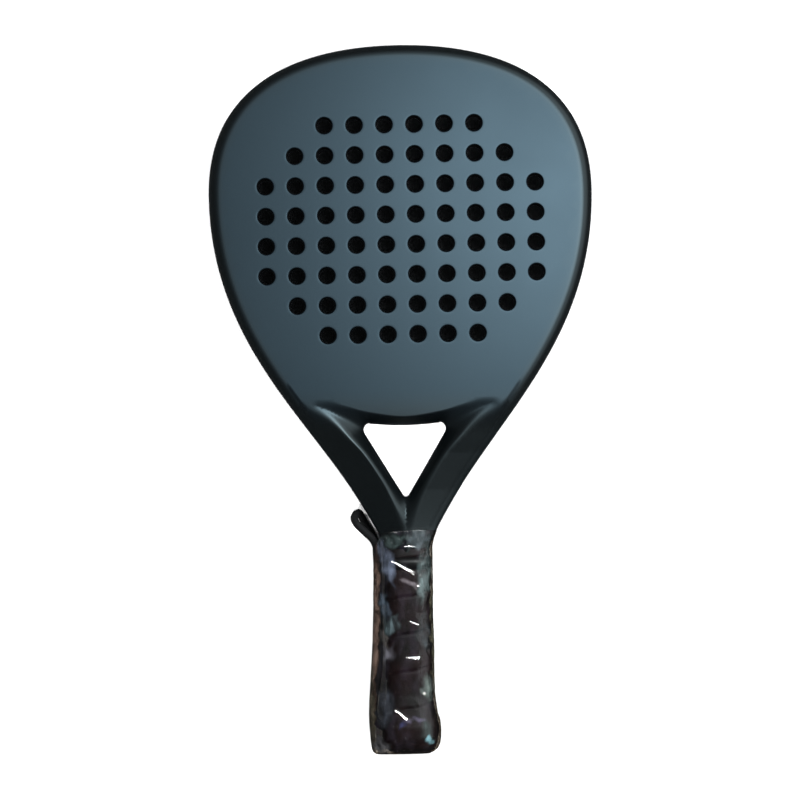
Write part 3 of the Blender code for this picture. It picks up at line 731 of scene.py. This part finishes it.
# where the film clouds over: haze of doubled film, and painted reflections and glints that stand in for its
# sharp creases. Middle (x, y), half sizes, lean in degrees, colour, strength, and darkening, which is partly
# doubled film and partly painted shade
HAZE_AND_REFLECTION_PATCHES = (
    (-12.6, -105.0, 4.6, 15.0, -14.0, (0.28, 0.34, 0.48), 0.048, 0.0),
    (-16.0, -98.0, 4.6, 8.0, -20.0, (0.26, 0.32, 0.46), 0.030, 0.0),
    (-11.8, -143.5, 5.4, 7.0, 25.0, (0.26, 0.38, 0.42), 0.028, 0.0),
    (-14.5, -133.0, 3.4, 8.0, -8.0, (0.20, 0.28, 0.38), 0.022, 0.0),
    (11.0, -112.0, 5.4, 18.0, 6.0, (0.30, 0.42, 0.43), 0.044, 0.0),
    (1.5, -118.6, 7.5, 2.4, 34.0, (0.42, 0.38, 0.42), 0.050, 0.0),
    (10.0, -150.0, 4.6, 13.0, -6.0, (0.20, 0.28, 0.32), 0.012, 0.0),
    (-15.5, -154.0, 2.6, 7.5, -20.0, (0.30, 0.28, 0.27), 0.034, 0.0),
    (11.8, -184.2, 4.8, 8.4, 0.0, (0.40, 0.54, 0.50), 0.046, 0.0),
    (3.4, -205.4, 7.4, 2.8, -6.0, (0.34, 0.31, 0.50), 0.034, 0.0),
    (-4.6, -207.6, 3.4, 2.4, -30.0, (0.14, 0.16, 0.45), 0.020, 0.0),
    (11.9, -219.2, 3.2, 3.0, 30.0, (0.34, 0.68, 0.78), 0.052, 0.0),
    (10.5, -211.0, 5.0, 9.0, -20.0, (0.12, 0.24, 0.23), 0.009, 0.0),
    (-13.0, -163.0, 4.2, 6.0, 30.0, (0.30, 0.30, 0.36), 0.022, 0.0),
    (-16.0, -196.0, 6.0, 14.0, 5.0, (0.20, 0.23, 0.29), 0.014, 0.3),
    (-19.0, -221.5, 6.5, 5.5, 0.0, (0.36, 0.36, 0.38), 0.060, 0.9),
    (7.5, -90.0, 7.5, 6.5, 0.0, (0.26, 0.33, 0.38), 0.026, 0.0),
    (-9.5, -90.0, 9.5, 5.5, 0.0, (0.18, 0.26, 0.26), 0.024, 0.0),
    (-21.0, -140.0, 2.4, 62.0, 2.0, (0.36, 0.24, 0.19), 0.062, 0.75),
    (15.4, -150.0, 1.8, 34.0, 0.0, (0.34, 0.33, 0.22), 0.048, 0.4),
    (-24.6, -200.0, 2.4, 38.0, 0.0, (0.24, 0.21, 0.15), 0.050, 0.85),
)


def film_section(y, turns):
    """The film's ring at a height: tight round the grip, and drawn out to the folded cord."""
    low_first = FILM_STATIONS[::-1]
    left, right, depth = (np.interp(y, [row[0] for row in low_first], [row[part] for row in low_first])
                          for part in (1, 2, 3))
    to_right = np.cos(turns) > 0
    wide = np.where(to_right, right, left)
    power = np.where(to_right, 0.62, 0.80)
    x = wide * np.abs(np.cos(turns)) ** power * np.sign(np.cos(turns))
    z = depth * np.abs(np.sin(turns)) ** 0.66 * np.sign(np.sin(turns))
    return x, z


def ridge_lift(x, y, ridges, sharp):
    """How far straight ridges raise the film: rounded ones, or folded ones with a sharp crest."""
    lift = np.zeros_like(x)
    for (x0, y0), (x1, y1), width, height in ridges:
        along = np.array((x1 - x0, y1 - y0))
        length = np.hypot(*along)
        ahead = ((x - x0) * along[0] + (y - y0) * along[1]) / length
        aside = ((x - x0) * along[1] - (y - y0) * along[0]) / length
        ends = smoothstep(ahead, -1.2, 1.2) * (1 - smoothstep(ahead, length - 1.2, length + 1.2))
        if sharp:
            profile = np.maximum(0.0, 1 - np.abs(aside) / (1.6 * width))
        else:
            profile = np.exp(-(aside / width) ** 2 / 2)
        lift = np.maximum(lift, height * ends * profile)
    return lift


def crinkle_share(x, y):
    """How tightly the film is crinkled at points, from 0 to 1."""
    share = np.zeros_like(x)
    for middle_x, middle_y, half_x, half_y in CRINKLES:
        away = ((x - middle_x) / half_x) ** 2 + ((y - middle_y) / half_y) ** 2
        share = np.maximum(share, 1 - smoothstep(away, 0.4, 1.2))
    return share


CLEAR_TONE = (0.24, 0.20, 0.30)  # the faint haze of the film where it is single


def haze_and_reflection_at(places):
    """The film's patches at points: colour and strength of its haze and painted reflections, and how far
    they darken what is behind, partly as painted shade.
    """
    x, y = places[:, 0], places[:, 1]
    ragged = np.array([noise.noise(Vector(place) * 0.22) for place in places])
    rough = np.array([noise.noise(Vector(place) * 0.22 + Vector((31.0, 7.0, 0.0))) for place in places])
    x, y = x + 2.4 * ragged, y + 4.0 * rough
    colour = np.tile(CLEAR_TONE, (len(x), 1))
    share, dark = np.zeros(len(x)), np.zeros(len(x))
    for middle_x, middle_y, half_x, half_y, lean, tone, strength, doubling_and_shade in HAZE_AND_REFLECTION_PATCHES:
        turn = radians(lean)
        across = (x - middle_x) * cos(turn) - (y - middle_y) * sin(turn)
        along = (x - middle_x) * sin(turn) + (y - middle_y) * cos(turn)
        away = (np.abs(across) / half_x) ** 1.3 + (np.abs(along) / half_y) ** 1.3
        within = 1 - smoothstep(away, 0.30, 1.25)
        over = (within * strength / np.maximum(share + within * strength, 1e-6))[:, None]
        colour = colour * (1 - over) + np.array(tone) * over
        share = np.maximum(share, within * strength)
        # darkening of what shows through at the film's sides and butt: partly doubled film, partly painted
        # shade
        dark = np.maximum(dark, within * doubling_and_shade)
    # the right side's patches fade towards the rear
    share = share * (1 - 0.8 * smoothstep(-places[:, 2], -18.0, -8.0) * smoothstep(x, 4.0, 10.0))
    return colour, share, dark


def folded_noise(x, y, z, size):
    """Noise with sharp creases, running down and to the right."""
    place = Vector((x * size + y * size * 0.35, y * size * 0.55, z * size))
    return 1.0 - 2.2 * abs(noise.noise(place))


FILM_ROW = 0.62
FILM_THICKNESS = 0.06


def make_film(material):
    """A thin sleeve with an uneven mouth, folded over the butt, creased all over."""
    turns = np.linspace(0.0, 2 * pi, 260, endpoint=False)
    rows = np.concatenate([np.arange(FILM_STATIONS[0][0], -227.0, -FILM_ROW), [FILM_STATIONS[-1][0]]])
    rings = []
    for y in rows:
        x, z = film_section(y, turns)
        mouth = smoothstep(y, -97.0, -83.5)
        droop = mouth * (0.5 * np.sin(3 * turns + 1.0) + 0.5 + 9.0 * smoothstep(-x, 14.5, 21.5))
        front = z > 0
        calm = 1.0 - 0.75 * np.where(front, np.clip(ridge_lift(x, y, CREASES, False) * 3, 0, 1), 0.0)
        broad = np.array([0.55 * folded_noise(a, y, b, 0.075) + 0.22 * folded_noise(a, y, b, 0.17)
                          for a, b in zip(x, z)])
        fine = np.array([folded_noise(a, y * 0.8, b, 0.42) for a, b in zip(x, z)])
        lift = 0.36 * broad * calm + fine * (0.03 + 0.30 * crinkle_share(x, y)) * calm
        lift += np.where(front, ridge_lift(x, y, CREASES, False) + ridge_lift(x, y, FOLDS, True), 0.0)
        lift = np.clip(lift, -0.25, 1.0) * smoothstep(-y, 83.0, 86.0) * smoothstep(y, -227.6, -224.0)
        out = np.stack([np.cos(turns), np.sin(turns)], axis=1)
        rings.append(np.stack([x + out[:, 0] * lift, y - droop, MID_Z + z + out[:, 1] * lift], axis=1))
    last = rings[-1]
    centre = last.mean(axis=0)
    for shrink, drop in ((0.85, -0.12), (0.6, -0.25), (0.3, -0.2), (0.02, -0.15)):
        rings.append((last - centre) * (shrink, 1, shrink) + centre + (0, drop, 0))
    film = tube_mesh("film_wrap", rings, material, close_high=True)
    places = np.vstack(rings)
    colour, share, dark = haze_and_reflection_at(places)
    tint = film.data.attributes.new("haze_and_reflection_colour", "FLOAT_COLOR", "POINT")
    tint.data.foreach_set("color", np.column_stack([colour, share]).astype(np.float32).ravel())
    # how far the film darkens what is behind it: doubled film and painted shade
    doubled_and_shaded = film.data.attributes.new("doubled_and_shaded", "FLOAT", "POINT")
    doubled_and_shaded.data.foreach_set("value", dark.astype(np.float32))
    shell = film.modifiers.new("film", "SOLIDIFY")
    shell.thickness = FILM_THICKNESS * MM
    shell.offset = -1.0
    return film


def film_material():
    """Clear wrapper: see-through, browner where seen edge-on, glossy, clouded in patches of haze and painted
    reflection, and darkened along its sides and butt by doubled film and painted shade.
    """
    n = Nodes("clear_film")
    tree, shader = n.tree, n.shader
    cloud = n.add("ShaderNodeAttribute", attribute_name="haze_and_reflection_colour")
    doubled_and_shaded = n.add("ShaderNodeAttribute", attribute_name="doubled_and_shaded").outputs["Fac"]
    folds = n.noise(150.0, 4.0, place=n.stretch((1.0, 0.5, 1.0)))
    fine = n.noise(420.0, 3.0)
    facing = n.add("ShaderNodeLayerWeight", {"Blend": 0.5}).outputs["Facing"]
    n.finish(colour=cloud.outputs["Color"], roughness=0.3, specular=0.2, normal=n.bump(fine, 0.2, 0.0003))
    edge_tint = n.mix(n.math("POWER", facing, 1.2), (0.975, 0.97, 0.96), (0.26, 0.22, 0.17))
    clear = n.add("ShaderNodeBsdfTransparent")
    # the see-through colour turns brown-black where the film is doubled, and as painted shade along its
    # sides and butt
    n.put(clear.inputs["Color"], n.mix(doubled_and_shaded, edge_tint, (0.045, 0.035, 0.030)))
    # the patches of haze and painted reflection, broken into angular facets like the film's crinkles
    facets = n.add("ShaderNodeTexVoronoi", {"Vector": n.stretch((1.0, 0.45, 1.0)), "Scale": 260.0})
    facet = n.ramp(facets.outputs["Color"], 0.35, 1.9)
    haze_and_reflection_share = n.math("MULTIPLY", n.math("MULTIPLY", cloud.outputs["Alpha"], facet),
                    n.ramp(folds, 0.4, 1.5, 0.36, 0.64))
    haze = n.math("ADD", haze_and_reflection_share, n.ramp(folds, 0.0, 0.008, 0.45, 0.65))
    mixed = n.add("ShaderNodeMixShader")
    n.put(mixed.inputs[0], haze)
    tree.links.new(clear.outputs[0], mixed.inputs[1])
    tree.links.new(shader.outputs[0], mixed.inputs[2])
    gloss = n.add("ShaderNodeBsdfGlossy", {"Roughness": 0.09, "Color": (1, 1, 1, 1)})
    edge = n.math("MINIMUM", n.add("ShaderNodeFresnel", {"IOR": 1.25}).outputs[0], 0.05)
    topped = n.add("ShaderNodeMixShader")
    n.put(topped.inputs[0], edge)
    tree.links.new(mixed.outputs[0], topped.inputs[1])
    tree.links.new(gloss.outputs[0], topped.inputs[2])
    tree.links.new(topped.outputs[0], tree.nodes["Material Output"].inputs["Surface"])
    return n.material


def plain_material(name, dark, light, roughness, scale, bump, metallic=0.0):
    """Polyester, plastic, vinyl or metal: two tones of fine mottling and a matching relief."""
    n = Nodes(name)
    speck = n.noise(scale, 4.0)
    return n.finish(colour=n.mix(n.ramp(speck, 0.0, 1.0, 0.35, 0.65), dark, light), roughness=roughness,
                    metallic=metallic, normal=n.bump(speck, bump, 0.0002))


# ---------------------------------------------------------------- stage
FLOOR_SIZE, FLOOR_GAP = 400.0, 0.0004
FLOOR_BEAM = 1.75                # each beam's strength
BEAM_LEAN = 17.5                 # degrees from straight down
THROAT_PLACE = (0.0, -0.030)
THROAT_LIGHT_HEIGHT = 0.5
DOME_LOW, DOME_KEY = 0.08, 1.22  # the dome's brightness away from its bright side, and in it
KEY_FROM = Vector((0.64, 0.24, 0.73)).normalized()
OVERHEAD = 0.15                  # the dome's share that is left straight overhead


def make_stage():
    """The pale floor, which the racket's gloss doesn't mirror."""
    bpy.ops.mesh.primitive_plane_add(size=FLOOR_SIZE, location=(0.0, 0.0, LOW.z - FLOOR_GAP))
    floor = bpy.context.object
    floor.name = "studio_floor"
    n = Nodes("pale_floor")
    n.finish(colour=(0.92, 0.92, 0.92), roughness=0.8, specular=0.1)
    floor.data.materials.append(n.material)
    floor.visible_glossy = False
    return floor


def link(name, *lit):
    """A collection of the objects that a light reaches."""
    group = bpy.data.collections.new(name)
    for piece in lit:
        group.objects.link(piece)
    return group


def place_light(data, place, aim, reaches):
    """A light aimed at a point, which lights only the collection that it reaches."""
    light = bpy.data.objects.new(data.name, data)
    light.location = place
    light.rotation_euler = (Vector(aim) - Vector(place)).to_track_quat("-Z", "Y").to_euler()
    light.visible_camera = False
    bpy.context.scene.collection.objects.link(light)
    light.light_linking.receiver_collection = reaches
    return light


def area_light(name, place, size, power, reaches, aim, colour=(1.0, 1.0, 1.0)):
    """A soft rectangular light."""
    data = bpy.data.lights.new(name, "AREA")
    data.shape = "RECTANGLE"
    data.size, data.size_y = size
    data.energy = power
    data.color = colour
    place_light(data, place, aim, reaches)


def floor_light(reaches):
    """Four beams that lean in from four sides: white up to the racket's edge, dark down its air holes."""
    lean, drop = sin(radians(BEAM_LEAN)), cos(radians(BEAM_LEAN))
    for number in range(4):
        turn = radians(45 + 90 * number)
        data = bpy.data.lights.new(f"floor_{number}", "SUN")
        data.energy = FLOOR_BEAM
        data.angle = radians(3)
        place_light(data, (lean * cos(turn), lean * sin(turn), drop), (0, 0, 0), reaches)


def throat_light(reaches):
    """A narrow spot that fills the racket's own shadow inside the throat's opening."""
    data = bpy.data.lights.new("throat_fill", "SPOT")
    data.energy = 9.0
    data.spot_size = radians(9.4)
    data.spot_blend = 0.1
    data.shadow_soft_size = 0.002
    light = place_light(data, (*THROAT_PLACE, THROAT_LIGHT_HEIGHT), (*THROAT_PLACE, 0.0), reaches)
    light.light_linking.blocker_collection = reaches


def make_world():
    """A dim studio dome with one broad bright side, and dark straight overhead."""
    world = bpy.data.worlds.new("studio")
    world.use_nodes = True
    bpy.context.scene.world = world
    tree = world.node_tree

    def add(kind, *links, **settings):
        node = tree.nodes.new(kind)
        for key, value in settings.items():
            setattr(node, key, value)
        for socket, source in links:
            if isinstance(source, bpy.types.NodeSocket):
                tree.links.new(source, node.inputs[socket])
            else:
                node.inputs[socket].default_value = source
        return node

    direction = add("ShaderNodeTexCoord").outputs["Generated"]

    def patch(towards, low, high, outside, within):
        along = add("ShaderNodeVectorMath", (0, direction), (1, towards), operation="DOT_PRODUCT")
        return add("ShaderNodeMapRange", ("Value", along.outputs["Value"]), ("From Min", low),
                   ("From Max", high), ("To Min", outside), ("To Max", within),
                   interpolation_type="SMOOTHSTEP").outputs[0]

    bright = patch(KEY_FROM, 0.70, 0.97, DOME_LOW, DOME_KEY)
    gap = patch((0, 0, 1), 0.95, 0.985, 1.0, OVERHEAD)
    level = add("ShaderNodeMath", (0, bright), (1, gap), operation="MULTIPLY").outputs[0]
    tree.links.new(level, tree.nodes["Background"].inputs["Strength"])
    tree.nodes["Background"].inputs["Color"].default_value = (0.93, 0.97, 1.0, 1.0)


# ---------------------------------------------------------------- assembly, in metres
def dress(piece, slot, *nodes):
    """Rides a piece on the racket, and hides the CAD nodes that it stands for."""
    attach(piece, "root")
    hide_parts(*nodes)


make_camera()

CORD_LOOK = ((0.006, 0.006, 0.007), (0.016, 0.016, 0.017), 0.75, 3000.0, 0.3)
cord, cord_path, cord_length = make_cord(plain_material("braided_polyester", *CORD_LOOK))
dress(cord, "cord_polyester", "wrist_cord")

moulding = make_moulding(paint_material(), foam_material())
dress(moulding, "frame_carbon", "frame_tube", "throat_bridge", "front_face", "rear_face", "head_core",
      "handle_core")
grip = make_grip(grip_material())
dress(grip, "grip_polyurethane", "grip_tape")
band = make_finishing_band(plain_material("finishing_vinyl", (0.010, 0.010, 0.011), (0.016, 0.016, 0.018),
                                          0.35, 700.0, 0.1))
dress(band, "finishing_vinyl", "finishing_tape")
cap = make_cap(plain_material("cap_plastic", (0.012, 0.012, 0.013), (0.020, 0.020, 0.021),
                              0.45, 1800.0, 0.2))
dress(cap, "cap_plastic", "butt_cap")
film = make_film(film_material())
dress(film, "clear_film", "film_sleeve")

# the CAD nodes that stay as they are, each with its own material
KEPT = {
    "cord_knot": plain_material("knot_polyester", *CORD_LOOK),
    "grip_staple": plain_material("staple_steel", (0.45, 0.45, 0.45), (0.6, 0.6, 0.6), 0.35, 2500.0, 0.1,
                                  metallic=1.0),
}
for node, look in KEPT.items():
    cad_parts[node].material_slots[0].material = look

floor = make_stage()
make_world()
racket = link("racket_pieces", cord, moulding, grip, band, cap, film,
              *(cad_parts[node] for node in KEPT))
floor_only = link("floor_only", floor)
floor_light(floor_only)
throat_light(floor_only)
area_light("key", (0.12, 0.15, 0.62), (0.16, 0.16), 1.40, racket, aim=(0.12, 0.15, 0.0),
           colour=(0.86, 0.95, 1.0))
area_light("strip", (0.08, 0.55, 1.40), (1.7, 0.16), 118.0, link("film_only", film),
           aim=(0.0, -0.15, 0.0))
bpy.context.scene.view_settings.view_transform = "Standard"
